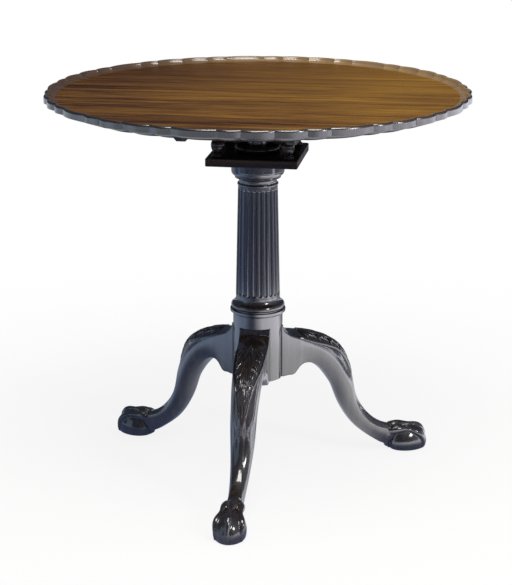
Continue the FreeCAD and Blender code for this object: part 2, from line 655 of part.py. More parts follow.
def talon(direction, start, stand, middle):
    """One talon, round knuckles joined by thinner bones, from the wrist over the ball to its nail."""
    facing = math.radians(direction)
    way = vec(math.cos(facing), math.sin(facing), 0)
    across = vec(-math.sin(facing), math.cos(facing), 0)
    joints = []
    for step in range(KNUCKLES + 1):
        part = step / KNUCKLES
        fall = math.radians(start + (TALON_END - start) * part)
        centre = (way * math.sin(fall) + Z_AXIS * math.cos(fall)) * (BALL_R * stand)
        joints.append((centre, TALON_R + (TALON_TIP_R - TALON_R) * part))
    solids = []
    for (near, near_r), (far, far_r) in zip(joints, joints[1:]):
        along = far - near
        inward = across.cross(along)
        turn = FreeCAD.Rotation(inward, across, along, "ZXY")
        bone = Part.makeCone(near_r * BONE_WAIST, far_r * BONE_WAIST, along.Length)
        bone.Placement = FreeCAD.Placement(near, turn)
        knuckle = Part.makeSphere(near_r)
        knuckle.Placement = FreeCAD.Placement(near, turn * HALF_TURN)
        solids += [knuckle, bone]
    claw = fused(solids)
    claw.translate(vec(middle, 0, BALL_Z))
    return claw


def leg():
    """Leg with its dovetail, drawn along +X."""
    talons = [talon(turn, TALON_START, 1, TOE_AT) for turn in (-TALON_SPREAD, 0, TALON_SPREAD)]
    talons.append(talon(180, HEEL_START, HEEL_STAND, HEEL_AT))
    solid = fused([leg_body(), ball()] + talons + [dovetail(0, LEG_FLAT + DOVETAIL_LAP)])
    floor = box(0, 2 * FOOT_REACH, -DRUM_R, DRUM_R, -DRUM_R, 0)
    under = box(0, BRACKET_ARM_REACH, -DRUM_R, DRUM_R, 0, DRUM_BOTTOM)
    over = box(0, DRUM_R, -DRUM_R, DRUM_R, EAR_TOP, EAR_TOP + LEG_RISE)
    return solid.cut([floor, under, over])


# Iron bracket

def bracket():
    """Flat plate with one arm under each leg."""
    low = DRUM_BOTTOM - BRACKET_T
    hub = cylinder(BRACKET_HUB_R, vec(0, 0, low), vec(0, 0, DRUM_BOTTOM))
    half = BRACKET_ARM_W / 2
    straight = BRACKET_ARM_REACH - half
    arm = box(0, straight, -half, half, low, DRUM_BOTTOM)
    tip = cylinder(half, vec(straight, 0, low), vec(straight, 0, DRUM_BOTTOM))
    arms = [placed(fused([arm, tip]), index) for index in range(LEG_COUNT)]
    return fused([hub] + arms).cut([hole for piece, hole in bracket_screw_pairs()])


def bracket_screw_pairs():
    pairs = []
    for index in range(LEG_COUNT):
        for out in (BRACKET_INNER_SCREW, BRACKET_OUTER_SCREW):
            head = leg_placement(index).multVec(vec(out, 0, DRUM_BOTTOM - BRACKET_T))
            length = BRACKET_T + WOOD_SCREW_BITE
            pairs.append(screw(WOOD_SCREW_HEAD_R, WOOD_SCREW_R, length, head, Z_AXIS))
    return pairs


# Catch

def strike_screw_pairs():
    middle = UPPER_TOP - STRIKE_H / 2
    heads = [vec(side * STRIKE_SCREW_PITCH / 2, HALF_PLATE, middle) for side in (-1, 1)]
    return [screw(PIN_HEAD_R, PIN_R, STRIKE_T + PIN_BITE, head, -Y_AXIS) for head in heads]


def strike_plate():
    """Brass plate let into the back edge of the upper plate, with a mouth for the bolt."""
    slab = box(-STRIKE_W / 2, STRIKE_W / 2, HALF_PLATE - STRIKE_T, HALF_PLATE,
               UPPER_TOP - STRIKE_H, UPPER_TOP)
    mouth = box(-BOLT_W / 2 - SLIDE_GAP, BOLT_W / 2 + SLIDE_GAP, HALF_PLATE - STRIKE_T, HALF_PLATE,
                BOLT_Z - BOLT_T / 2 - SLIDE_GAP, BOLT_Z + BOLT_T / 2 + SLIDE_GAP)
    return slab.cut([mouth] + [hole for piece, hole in strike_screw_pairs()])


def guide_screw_pairs():
    across = GUIDE_W / 2 - GUIDE_SCREW_INSET
    rows = (GUIDE_START + GUIDE_LOOP_L / 2, GUIDE_START + GUIDE_LENGTH - GUIDE_LOOP_L / 2)
    heads = [vec(x, y, UNDERSIDE - GUIDE_T) for x in (-across, across) for y in rows]
    return [screw(PIN_HEAD_R, PIN_R, GUIDE_T + PIN_BITE, head, Z_AXIS) for head in heads]


def catch_guide():
    """Brass base with two loops in which the bolt slides."""
    y0 = GUIDE_START
    base = box(-GUIDE_W / 2, GUIDE_W / 2, y0, y0 + GUIDE_LENGTH, UNDERSIDE - GUIDE_T, UNDERSIDE)
    half = BOLT_W / 2 + SLIDE_GAP
    low = BOLT_Z - BOLT_T / 2 - SLIDE_GAP
    pieces = [base]
    for start in (y0, y0 + GUIDE_LENGTH - GUIDE_LOOP_L):
        loop = box(-half - GUIDE_T, half + GUIDE_T, start, start + GUIDE_LOOP_L, low - GUIDE_T, UNDERSIDE)
        way = box(-half, half, start, start + GUIDE_LOOP_L, low, UNDERSIDE - GUIDE_T)
        pieces.append(loop.cut(way))
    return fused(pieces).cut([hole for piece, hole in guide_screw_pairs()])


def catch_bolt():
    """Flat bolt with a rounded nose, drilled for the knob's stem."""
    low = BOLT_Z - BOLT_T / 2
    high = BOLT_Z + BOLT_T / 2
    slab = box(-BOLT_W / 2, BOLT_W / 2, BOLT_START, BOLT_START + BOLT_LENGTH, low, high)
    upright = [e for e in slab.Edges if e.BoundBox.ZLength > BOLT_T / 2]
    nose = [e for e in upright if e.BoundBox.YMax < BOLT_START + BOLT_LENGTH / 2]
    slab = slab.makeFillet(BOLT_W / 4, nose)
    return slab.cut(cylinder(KNOB_STEM_R + JOINT_GAP, vec(0, KNOB_Y, low), vec(0, KNOB_Y, high)))


def catch_knob():
    """Small turned knob that hangs from the bolt."""
    top = BOLT_Z + BOLT_T / 2
    seat = BOLT_Z - BOLT_T / 2
    outline = Profile(0, top).to(KNOB_STEM_R, top).to(KNOB_STEM_R, seat)
    outline.to(KNOB_R, seat).to(KNOB_R, seat - KNOB_FLANGE).to(KNOB_NECK_R, seat - KNOB_FLANGE)
    low = seat - KNOB_HEIGHT
    outline.to(KNOB_NECK_R, low + KNOB_R)
    knob = fused([outline.to(0, low + KNOB_R).turn(), Part.makeSphere(KNOB_R, vec(0, 0, low + KNOB_R))])
    knob.translate(vec(0, KNOB_Y, 0))
    return knob


# All the pieces

def pieces():
    board_screws = batten_screw_pairs()
    board_holes = [hole for piece, hole in board_screws]
    guide_screws = guide_screw_pairs()
    bracket_screws = bracket_screw_pairs()
    leg_blank = leg()
    made = {"tray_top": tray_top().cut(board_holes + [hole for piece, hole in guide_screws]),
            "batten_left": batten(-1).cut(board_holes),
            "batten_right": batten(1).cut(board_holes),
            "batten_screws": Part.makeCompound([piece for piece, hole in board_screws]),
            "birdcage_upper_plate": upper_plate(),
            "birdcage_lower_plate": lower_plate(),
            "column": column(),
            "collar_ring": collar_ring(),
            "locking_wedge": wedge_outline(0),
            "tripod_bracket": bracket(),
            "bracket_screws": Part.makeCompound([piece for piece, hole in bracket_screws]),
            "strike_plate": strike_plate(),
            "strike_screws": Part.makeCompound([piece for piece, hole in strike_screw_pairs()]),
            "catch_guide": catch_guide(),
            "catch_screws": Part.makeCompound([piece for piece, hole in guide_screws]),
            "catch_bolt": catch_bolt(),
            "catch_knob": catch_knob()}
    for name, (x, y) in baluster_places().items():
        made["baluster_" + name] = baluster(x, y)
    for index, name in enumerate(("leg_front", "leg_right", "leg_left")):
        made[name] = placed(leg_blank, index).cut([hole for piece, hole in bracket_screws])
    return made


os.makedirs("parts", exist_ok=True)
for name, shape in pieces().items():
    shape.exportStep("parts/" + name + ".step")
    print(name, shape.isValid(), round(shape.Volume / 1000, 2), "cm3", len(shape.Faces), "faces")
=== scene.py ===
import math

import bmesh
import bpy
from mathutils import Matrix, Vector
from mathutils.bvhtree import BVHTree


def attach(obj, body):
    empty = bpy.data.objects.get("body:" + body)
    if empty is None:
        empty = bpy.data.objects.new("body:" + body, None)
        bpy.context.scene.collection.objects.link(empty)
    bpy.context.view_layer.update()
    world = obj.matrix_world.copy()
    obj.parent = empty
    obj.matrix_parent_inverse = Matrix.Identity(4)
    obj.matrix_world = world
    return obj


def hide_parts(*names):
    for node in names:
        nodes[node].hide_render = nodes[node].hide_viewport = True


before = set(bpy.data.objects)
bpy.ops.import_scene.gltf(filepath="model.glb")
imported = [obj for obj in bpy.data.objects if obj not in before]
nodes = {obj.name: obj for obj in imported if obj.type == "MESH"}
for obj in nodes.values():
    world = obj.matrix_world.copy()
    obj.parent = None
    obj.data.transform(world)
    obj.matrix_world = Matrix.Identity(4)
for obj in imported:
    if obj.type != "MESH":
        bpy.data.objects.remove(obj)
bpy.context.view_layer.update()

# %% [markdown]
# # A tilt-top tea table
# The table is a polished mahogany top with a scalloped rim, on a birdcage that lets it turn and tilt.
# Under it are a fluted column and three cabriole legs with carved knees and claw-and-ball feet.
# The frame that was just loaded holds every solid piece in metres, so the lesson is about looks:
# the camera, the room and the light first, then the legs and their carving, then the woods and the metals.

# %% [markdown]
# ## Camera
# The table is seen from three metres off, a little from the right and from half a metre above its top.
# A long lens keeps the sides of the column nearly upright, as it does in a studio.
# The view is set by a distance, a height and two angles, so each can be changed alone.
# The picture is 512 by 585 pixels. Blender reckons the lens on the longer side, which is its height here.

# %% Camera
VIEW_TURN = math.radians(8.7)
VIEW_DOWN = math.radians(16.62)
VIEW_DISTANCE = 3.038
VIEW_HEIGHT = 1.2505
IMAGE_WIDTH, IMAGE_HEIGHT = 512, 585
AXIS_PIXEL = 257.9
FOCAL_PIXELS = 1745
SENSOR_WIDTH = 36


def show(name, data):
    """An object in the scene that holds this data."""
    made = bpy.data.objects.new(name, data)
    bpy.context.scene.collection.objects.link(made)
    return made


camera = show("camera", bpy.data.cameras.new("camera"))
bpy.context.scene.camera = camera
camera.location = Matrix.Rotation(VIEW_TURN, 3, "Z") @ Vector((0, -VIEW_DISTANCE, VIEW_HEIGHT))
camera.rotation_euler = (math.pi / 2 - VIEW_DOWN, 0, VIEW_TURN)
camera.data.sensor_width = SENSOR_WIDTH
camera.data.lens = SENSOR_WIDTH * FOCAL_PIXELS / IMAGE_HEIGHT
camera.data.shift_x = (IMAGE_WIDTH / 2 - AXIS_PIXEL) / IMAGE_HEIGHT
print("lens in mm:", round(camera.data.lens, 1))

# %% [markdown]
# ## Arithmetic on sockets
# A finish is a small program made of nodes. Placing and wiring Math nodes one by one hides the idea,
# so one class wraps an output of a node, and arithmetic on it adds the Math nodes.
# The reflected forms let a plain number stand first, as in 1 - mask.

# %% Arithmetic on sockets
class Wire:
    """An output of a shader node. Arithmetic on it adds Math nodes."""

    def __init__(self, owner, socket):
        self.owner = owner
        self.socket = socket

    def math(self, operation, *values):
        return self.owner.node("ShaderNodeMath", {"operation": operation}, dict(enumerate(values)))

    def __add__(self, other):
        return self.math("ADD", self, other)

    def __sub__(self, other):
        return self.math("SUBTRACT", self, other)

    def __rsub__(self, other):
        return self.math("SUBTRACT", other, self)

    def __mul__(self, other):
        return self.math("MULTIPLY", self, other)

    def __neg__(self):
        return 0 - self

    def __abs__(self):
        return self.math("ABSOLUTE", self)

    def larger(self, other):
        return self.math("MAXIMUM", self, other)

    __radd__ = __add__
    __rmul__ = __mul__


print("wires can be added, taken away and multiplied")

# %% [markdown]
# ## A tree of nodes
# Any other node comes from one method that takes its type, its settings, and what its sockets get.
# Settings are made before the sockets are filled, because some settings change which sockets there are.
# What comes back often has a short method: a place on the object, noise, a ramp, a soft step, a mix.
# Patterns read the object's own coordinates, so they stay on their piece when the table moves.

# %% A tree of nodes
LEVEL = (1, 1, 0)
WHITE = (1, 1, 1, 1)


class Nodes:
    """A node tree that is built up one node at a time."""

    def __init__(self, tree):
        self.tree = tree

    def node(self, kind, settings=None, sockets=None, out=0):
        made = self.tree.nodes.new(kind)
        for name, value in (settings or {}).items():
            if name == "stops":
                self.set_stops(made.color_ramp, value)
            else:
                setattr(made, name, value)
        for key, value in (sockets or {}).items():
            self.feed(made.inputs[key], value)
        return Wire(self, made.outputs[out])

    def set_stops(self, ramp, stops):
        while len(ramp.elements) < len(stops):
            ramp.elements.new(1.0)
        for element, (place, colour) in zip(ramp.elements, stops):
            element.position = place
            element.color = (*colour, 1.0)

    def feed(self, socket, value):
        if isinstance(value, Wire):
            self.tree.links.new(value.socket, socket)
        else:
            socket.default_value = value

    def place(self, stretch=(1, 1, 1), shift=(0, 0, 0)):
        """Where a point lies on the object, stretched to suit a pattern."""
        spot = self.node("ShaderNodeTexCoord", out="Object")
        return self.node("ShaderNodeMapping", sockets={"Vector": spot, "Scale": stretch, "Location": shift})

    def part(self, axis, vector):
        """The X, Y or Z of a place or a direction."""
        return self.node("ShaderNodeSeparateXYZ", sockets={0: vector}, out=axis)

    def measure(self, operation, *vectors):
        """One number from vectors, such as a length or a distance."""
        settings = {"operation": operation}
        return self.node("ShaderNodeVectorMath", settings, dict(enumerate(vectors)), out="Value")

    def from_axis(self):
        """Distance from the column's axis."""
        return self.measure("LENGTH", self.place(LEVEL))

    def noise(self, stretch, detail=2.0, rough=0.5, warp=0.0, shift=(0, 0, 0)):
        sockets = {"Vector": self.place(stretch, shift), "Scale": 1.0, "Detail": detail,
                   "Roughness": rough, "Distortion": warp}
        return self.node("ShaderNodeTexNoise", sockets=sockets)

    def ramp(self, value, *stops):
        return self.node("ShaderNodeValToRGB", {"stops": stops}, {"Fac": value})

    def step(self, value, low, high):
        """A smooth mask that rises from 0 to 1 between two values."""
        return self.node("ShaderNodeMapRange", {"interpolation_type": "SMOOTHSTEP"},
                         {"Value": value, "From Min": low, "From Max": high})

    def mix(self, mask, first, second):
        """The first colour where the mask is 0, the second where it is 1."""
        return self.node("ShaderNodeMix", {"data_type": "RGBA"}, {0: mask, 6: first, 7: second}, out=2)

    def ray(self, kind):
        """1 for rays of one kind, such as those that come straight from the camera."""
        return self.node("ShaderNodeLightPath", out=kind)


print("node tree ready")

# %% [markdown]
# ## A finish
# Each finish is a material with one Principled shader, which covers wood, polish and metal alike.
# Numbers that are the same all over go straight into the shader's sockets, and wires feed what varies.

# %% A finish
class Finish(Nodes):
    """A material with its Principled shader."""

    def __init__(self, name):
        self.material = bpy.data.materials.new(name)
        self.material.use_nodes = True
        super().__init__(self.material.node_tree)
        self.shader = self.tree.nodes["Principled BSDF"]

    def set(self, **sockets):
        for name, value in sockets.items():
            self.feed(self.shader.inputs[name.replace("_", " ")], value)

    def bump(self, height, distance, strength):
        sockets = {"Height": height, "Distance": distance, "Strength": strength}
        self.feed(self.shader.inputs["Normal"], self.node("ShaderNodeBump", sockets=sockets))

    def dress(self, *pieces):
        for piece in pieces:
            piece.data.materials.clear()
            piece.data.materials.append(self.material)


print("finishes ready")

# %% [markdown]
# ## Floor
# The table stands on a pale sweep of paper that runs off without a corner.
# A sheet with its back edge curved up would do; a flat floor that meets a white world is simpler,
# and looks the same from every side. Three measures on it serve the next steps:
# how far a point lies to the right, how far to the back, and how far from the column.

# %% Floor
FLOOR_REACH = 14.0
PAPER = (0.90, 0.90, 0.90, 1)

sheet = bmesh.new()
bmesh.ops.create_grid(sheet, x_segments=1, y_segments=1, size=FLOOR_REACH)
floor = show("floor", bpy.data.meshes.new("floor"))
sheet.to_mesh(floor.data)
sheet.free()

paper = Finish("paper")
paper.set(Base_Color=PAPER, Roughness=0.9, Specular_IOR_Level=0.0)
paper.dress(floor)
rightward = paper.part("X", paper.place())
backward = paper.part("Y", paper.place())
away = paper.from_axis()
print("floor reaches", FLOOR_REACH, "m each way")

# %% [markdown]
# ## The near floor in the polish
# Dark polish is a mirror, and the upright faces of the table mirror the floor around it.
# So the floor has a second colour, which only mirrored rays see and which lights nothing:
# blue at the left, over-bright at the right, and dim in an aisle in front of the table.
# That gives the legs and the drum their pale right sides and blue left ones,
# and helps to keep the front leg dark.
# Coloured cards set round the table would do it too, but they would also throw light and shade.

# %% The near floor in the polish
COOL_NEAR, COOL_SIDE = (0.06, 0.12, 0.28, 1), (0.64, 0.84, 1.22, 1)
COOL_FROM = (0.36, 0.86)
BRIGHT_SIDE, BRIGHT_EDGE = (2.2, 2.2, 2.3, 1), (3.4, 3.4, 3.7, 1)
BRIGHT_FROM = (-0.3, 0.6)
EDGE_FROM = (0.70, 0.95)
DIM_ROOM = (0.06, 0.09, 0.21, 1)
AISLE_HALF = (0.16, 0.34)
AISLE_FROM, AISLE_TO = (0.40, 0.56), (0.80, 0.95)
AISLE_SHARE = 0.85

cool = paper.mix(paper.step(-rightward, *COOL_FROM), COOL_NEAR, COOL_SIDE)
bright = paper.mix(paper.step(away, *EDGE_FROM), BRIGHT_SIDE, BRIGHT_EDGE)
near_floor = paper.mix(paper.step(rightward, *BRIGHT_FROM), cool, bright)
ahead = paper.step(-backward, *AISLE_FROM) - paper.step(-backward, *AISLE_TO)
aisle = ahead * (1 - paper.step(abs(rightward), *AISLE_HALF))
near_floor = paper.mix(AISLE_SHARE * aisle, near_floor, DIM_ROOM)
print("dim aisle from", AISLE_FROM[0], "to", AISLE_TO[1], "m in front of the column")

# %% [markdown]
# ## The far floor in the polish
# The column mirrors the floor a metre and more away. A dim ring there with a bright patch at each side,
# like two windows, draws light lines down the flutes. Behind the table the floor is a plain grey.
# Farther out it stands in for the walls, pale and brighter to the right,
# which the rim's outer face mirrors. Panels of light would do as well, but would also light the table.

# %% The far floor in the polish
RING_FROM, WALL_FROM = (1.05, 1.45), (3.3, 3.8)
RIGHT_WINDOW, LEFT_WINDOW = (2.00, 2.10, 2.50, 1), (0.28, 0.48, 1.15, 1)
WINDOW_FROM = (0.9, 1.3)
WINDOW_HALF = (0.12, 0.36)
WINDOW_Y = -0.45
BACK_ROOM = (0.30, 0.31, 0.34, 1)
BACK_FROM = (0.3, 0.9)
PALE_WALL, RIGHT_WALL = (0.95, 1.08, 1.20, 1), (3.0, 3.0, 3.4, 1)
RIGHT_WALL_FROM = (1.2, 3.6)

window = 1 - paper.step(abs(backward - WINDOW_Y), *WINDOW_HALF)
ring = paper.mix(window * paper.step(rightward, *WINDOW_FROM), DIM_ROOM, RIGHT_WINDOW)
ring = paper.mix(window * paper.step(-rightward, *WINDOW_FROM), ring, LEFT_WINDOW)
mirrored = paper.mix(paper.step(away, *RING_FROM), near_floor, ring)
mirrored = paper.mix(paper.step(backward, *BACK_FROM), mirrored, BACK_ROOM)
wall = paper.mix(paper.step(rightward, *RIGHT_WALL_FROM), PALE_WALL, RIGHT_WALL)
mirrored = paper.mix(paper.step(away, *WALL_FROM), mirrored, wall)
print("dim ring from", RING_FROM[0], "to", WALL_FROM[1], "m from the column")

# %% [markdown]
# ## White paper and shadow
# Close to each foot the mirrored floor is darkened, as by the foot's own shade, so the balls stay dark.
# To the camera the paper glows white, wholly so away from the table.
# Near the feet a share of it is left to the lamps, and there the table's soft shadow shows.
# A floor that only glows would have no shadow, and one that is only lit would come out grey.

# %% White paper and shadow
LEGS = {"front": 0, "right": 120, "left": 240}
FOOT_RADIUS = 0.31
FOOT_SHADE = (0.10, 0.15, 0.34, 1)
SHADE_REACH = (0.045, 0.120)
NEAR_WHITE = 0.84
WHITE_FROM = (0.45, 1.5)

for degrees in LEGS.values():
    foot_centre = Matrix.Rotation(math.radians(degrees), 3, "Z") @ Vector((0, -FOOT_RADIUS, 0))
    from_foot = paper.measure("DISTANCE", paper.place(), foot_centre)
    mirrored = paper.mix(1 - paper.step(from_foot, *SHADE_REACH), mirrored, FOOT_SHADE)
glossy = paper.ray("Is Glossy Ray")
seen = paper.ray("Is Camera Ray") + glossy + paper.ray("Is Transmission Ray")
whiteness = NEAR_WHITE + (1 - NEAR_WHITE) * paper.step(away, *WHITE_FROM)
tint = paper.mix(glossy, WHITE, mirrored)
glow = paper.node("ShaderNodeEmission", sockets={"Color": tint, "Strength": 1.0})
lit = Wire(paper, paper.shader.outputs[0])
blend = paper.node("ShaderNodeMixShader", sockets={0: seen * whiteness, 1: lit, 2: glow})
paper.feed(paper.tree.nodes["Material Output"].inputs["Surface"], blend)
print("nodes in the paper:", len(paper.tree.nodes))

# %% [markdown]
# ## World
# Beyond the paper is a room: white to the camera, and a soft even light on the table.
# In the polish its walls are dark and brighter to the right, under a pale ceiling
# that shows in faces sloping up, such as the knees and the tops of the feet.
# The direction of a ray says where it looks, so neither walls nor ceiling need a model.

# %% World
ROOM_LIGHT = 0.45
ROOM_WALLS, ROOM_RIGHT = (0.065, 0.080, 0.120, 1), (0.28, 0.28, 0.35, 1)
RIGHT_FROM = (0.55, 0.95)
CEILING = (0.95, 0.92, 0.86, 1)
CEILING_FROM = (0.88, 0.96)

world = bpy.data.worlds.new("studio")
bpy.context.scene.world = world
world.use_nodes = True
room = Nodes(world.node_tree)
plain = room.ray("Is Camera Ray") + room.ray("Is Transmission Ray")
glossy = room.ray("Is Glossy Ray")
strength = plain + glossy + (1 - plain - glossy) * ROOM_LIGHT
heading = room.node("ShaderNodeTexCoord", out="Generated")
walls = room.mix(room.step(room.part("X", heading), *RIGHT_FROM), ROOM_WALLS, ROOM_RIGHT)
walls_and_ceiling = room.mix(room.step(room.part("Z", heading), *CEILING_FROM), walls, CEILING)
background = world.node_tree.nodes["Background"]
room.feed(background.inputs["Color"], room.mix(glossy, WHITE, walls_and_ceiling))
room.feed(background.inputs["Strength"], strength)
print("world made, light level", ROOM_LIGHT)

# %% [markdown]
# ## Light
# Three soft boxes light the table. The main one hangs above and in front, and shows the grain of the top.
# A small one stands high at the right, and a large, weak, blue one low at the left.
# The polish mirrors them too: a small box is a short bright glint, a large one a broad faint sheen.
# Bare lamps would give hard shadows. Each row holds a box's place, its two sides, its watts and its colour.

# %% Soft boxes
AIM = Vector((0, 0, 0.40))
SOFT_BOXES = {
    "light_left": ((-2.3, -1.3, 0.75), (1.4, 1.5), 3, (0.55, 0.76, 1.0)),
    "light_right": ((2.0, -1.4, 1.60), (0.5, 0.6), 16, (1.0, 0.98, 0.97)),
    "light_above": ((0.3, -0.9, 2.5), (1.5, 1.2), 41, (1.0, 0.97, 0.93)),
}

for name, (place, size, watts, colour) in SOFT_BOXES.items():
    lamp = bpy.data.lights.new(name, "AREA")
    lamp.shape = "RECTANGLE"
    lamp.size, lamp.size_y = size
    lamp.energy = watts
    lamp.color = colour
    holder = show(name, lamp)
    holder.location = place
    holder.rotation_euler = (AIM - Vector(place)).to_track_quat("-Z", "Y").to_euler()
print("lights:", list(SOFT_BOXES))

# %% [markdown]
# ## Claws
# The foot is an eagle's claw round a flattened ball.
# Each toe has two swollen knuckles, and a nail that presses the ball.
# A toe is a row of spheres on a curve, from the ankle over the ball and down its side, big at the knuckles
# and small at the nail. The spheres overlap, so the grid of a later step draws one skin round them all.
# A swept tube would have an even thickness, which is just what a toe hasn't.
# Each toe starts in a small mesh of its own, because adding many spheres to a large one is slow.

# %% One toe
TOE_SPHERES = 26
NAIL_SHARE = 0.36
TAPER = 1.2
KNUCKLES = 2
KNUCKLE_SWELL = 0.0034
KNUCKLE_START = 2.2


def toe(thick, path, side=1):
    """A toe along a curve with four points, each given as (across, out, up). Side -1 mirrors it."""
    shell = bmesh.new()
    for k in range(TOE_SPHERES + 1):
        t = k / TOE_SPHERES
        weights = ((1 - t) ** 3, 3 * t * (1 - t) ** 2, 3 * t * t * (1 - t), t ** 3)
        across, out, up = (sum(w * p[axis] for w, p in zip(weights, path)) for axis in range(3))
        knuckle = KNUCKLE_SWELL * math.cos(2 * math.pi * KNUCKLES * t - KNUCKLE_START) * (1 - t)
        radius = thick * (1 - (1 - NAIL_SHARE) * t ** TAPER) + knuckle
        made = bmesh.ops.create_uvsphere(shell, u_segments=16, v_segments=10, radius=radius)
        bmesh.ops.translate(shell, verts=made["verts"], vec=(side * across, -out, up))
    mesh = bpy.data.meshes.new("toe")
    shell.to_mesh(mesh)
    shell.free()
    return mesh


print("spheres in a toe:", TOE_SPHERES + 1)

# %% [markdown]
# ## Ball and ankle
# The ball is a little longer than wide and is cut flat where it stands.
# The ankle ends in a rounded swelling that hides the start of the toes.
# Both are spheres stretched to size, and a plane cuts the floor side of the ball away.
# A turned profile would make them round in plan, which a carved foot isn't.
# Four toes hold the ball: one over its front, one at each side and a short one behind.

# %% The foot
BALL_AT, BALL_HALF = (0, -0.310, 0.012), (0.0278, 0.0380, 0.0335)
ANKLE_AT, ANKLE_HALF = (0, -0.266, 0.035), (0.0144, 0.024, 0.0196)
FLOOR_CUT = (0, 0, 0.0005)
DOWN = (0, 0, -1)
FRONT_THICK, SIDE_THICK, BACK_THICK = 0.0080, 0.0076, 0.0070
FRONT_TOE = ((0, 0.262, 0.045), (0, 0.300, 0.051), (0, 0.349, 0.054), (0, 0.347, 0.005))
SIDE_TOE = ((0.007, 0.262, 0.040), (0.014, 0.296, 0.049), (0.0285, 0.338, 0.040), (0.0228, 0.332, 0.005))
BACK_TOE = ((0, 0.262, 0.028), (0, 0.262, 0.020), (0, 0.264, 0.012), (0, 0.271, 0.005))


def ovoid(shell, place, half):
    made = bmesh.ops.create_uvsphere(shell, u_segments=48, v_segments=32, radius=1.0)
    bmesh.ops.scale(shell, verts=made["verts"], vec=half)
    bmesh.ops.translate(shell, verts=made["verts"], vec=place)


def cut_flat(shell, place, direction):
    """Takes away what lies beyond a plane and closes the cut."""
    whole = shell.verts[:] + shell.edges[:] + shell.faces[:]
    cut = bmesh.ops.bisect_plane(shell, geom=whole, plane_co=place, plane_no=direction, clear_outer=True)
    rim = [piece for piece in cut["geom_cut"] if isinstance(piece, bmesh.types.BMEdge)]
    return bmesh.ops.holes_fill(shell, edges=rim)["faces"]


foot_shell = bmesh.new()
ovoid(foot_shell, BALL_AT, BALL_HALF)
floor_faces = cut_flat(foot_shell, FLOOR_CUT, DOWN)
print("faces that stand on the floor:", len(floor_faces))
ovoid(foot_shell, ANKLE_AT, ANKLE_HALF)
foot_shell.from_mesh(toe(FRONT_THICK, FRONT_TOE))
foot_shell.from_mesh(toe(SIDE_THICK, SIDE_TOE))
foot_shell.from_mesh(toe(SIDE_THICK, SIDE_TOE, side=-1))
foot_shell.from_mesh(toe(BACK_THICK, BACK_TOE))
foot_mesh = bpy.data.meshes.new("foot")
foot_shell.to_mesh(foot_mesh)
foot_shell.free()

# %% [markdown]
# ## From one leg to three
# The three legs are alike, so each piece of a leg is made once, for the front, and turned about the column.
# A fine voxel grid drawn through shapes that overlap melts their joins together,
# and smoothing its points rounds every edge a little.
# Joining the shapes by booleans would leave hard creases.

# %% Grid, easing and turned copies
WELD = 0.00001


def welded(node):
    """A copy of a frame piece with its loose triangles joined."""
    shell = bmesh.new()
    shell.from_mesh(nodes[node].data)
    bmesh.ops.remove_doubles(shell, verts=shell.verts, dist=WELD)
    return shell


def regridded(shell, size):
    """The same shape on an even grid of small faces. The old shell is freed."""
    block = show("grid_block", bpy.data.meshes.new("grid_block"))
    shell.to_mesh(block.data)
    shell.free()
    remesh = block.modifiers.new("grid", "REMESH")
    remesh.mode = "VOXEL"
    remesh.voxel_size = size
    fine = bmesh.new()
    fine.from_object(block, bpy.context.evaluated_depsgraph_get())
    bpy.data.objects.remove(block)
    return fine


def ease(shell, verts, times):
    every_way = {"use_axis_x": True, "use_axis_y": True, "use_axis_z": True}
    for _ in range(times):
        bmesh.ops.smooth_vert(shell, verts=verts, factor=0.5, **every_way)


def turned_copies(shell, name):
    """One piece for each leg, turned about the column."""
    made = []
    for leg, degrees in LEGS.items():
        mesh = bpy.data.meshes.new(name + "_" + leg)
        shell.to_mesh(mesh)
        mesh.transform(Matrix.Rotation(math.radians(degrees), 4, "Z"))
        mesh.shade_smooth()
        piece = show(mesh.name, mesh)
        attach(piece, "pedestal")
        made.append(piece)
    return made


print("a piece of a leg is turned", len(LEGS), "ways")

# %% [markdown]
# ## Legs
# Each leg is cut from one plank and then carved, so no edge on it is quite sharp,
# and the claws grow out of the ankle. The frame's leg gives the knee and the shank.
# Its foot is cut off at the ankle, the fuller foot is put in its place, and the grid makes them one.
# The foot is eased most. Carving every claw by hand in points would take longer and fit less well.

# %% Legs
VOXEL = 0.0011
EASE_ALL, EASE_FOOT = 3, 2
FOOT_FROM, FOOT_BELOW = 0.262, 0.075
ANKLE_CUT = (0, -0.266, 0)
OUTWARDS = (0, -1, 0)

leg_shell = welded("leg_front")
ankle_faces = cut_flat(leg_shell, ANKLE_CUT, OUTWARDS)
print("faces that close the ankle:", len(ankle_faces))
leg_shell.from_mesh(foot_mesh)
leg_shell = regridded(leg_shell, VOXEL)
ease(leg_shell, leg_shell.verts[:], EASE_ALL)
foot = [v for v in leg_shell.verts if v.co.y < -FOOT_FROM and v.co.z < FOOT_BELOW]
ease(leg_shell, foot, EASE_FOOT)
knee = BVHTree.FromBMesh(leg_shell)
legs = turned_copies(leg_shell, "cabriole_leg")
for piece, leg in zip(legs, LEGS):
    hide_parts("leg_" + leg)
print("faces in a leg:", len(leg_shell.faces), "points in its foot:", len(foot))
leg_shell.free()

# %% [markdown]
# ## A ruler on the knee
# The carving lies on a curved face, so it is laid out in two plain measures:
# how far along the knee, and how far across.
# Rays sent from outside towards a point inside the knee find the face.
# Walking them from the ear to the shin and adding up the steps gives the ruler,
# and any pair of measures then becomes a point on the wood.
# A flat map of the face would serve too, but it stretches where the wood curves both ways.

# %% A ruler on the knee
FAN = Vector((0, -0.100, 0.215))
FAN_START, FAN_END = 124, -32
FAN_STEPS = 78
RAY_LENGTH = 0.3


def knee_ray(turn, across):
    """Point and normal where a ray towards the fan's middle meets the knee."""
    way = Vector((0, -math.cos(turn), math.sin(turn)))
    start = FAN + RAY_LENGTH * way + Vector((across, 0, 0))
    place, normal, _, _ = knee.ray_cast(start, -way)
    return place, normal


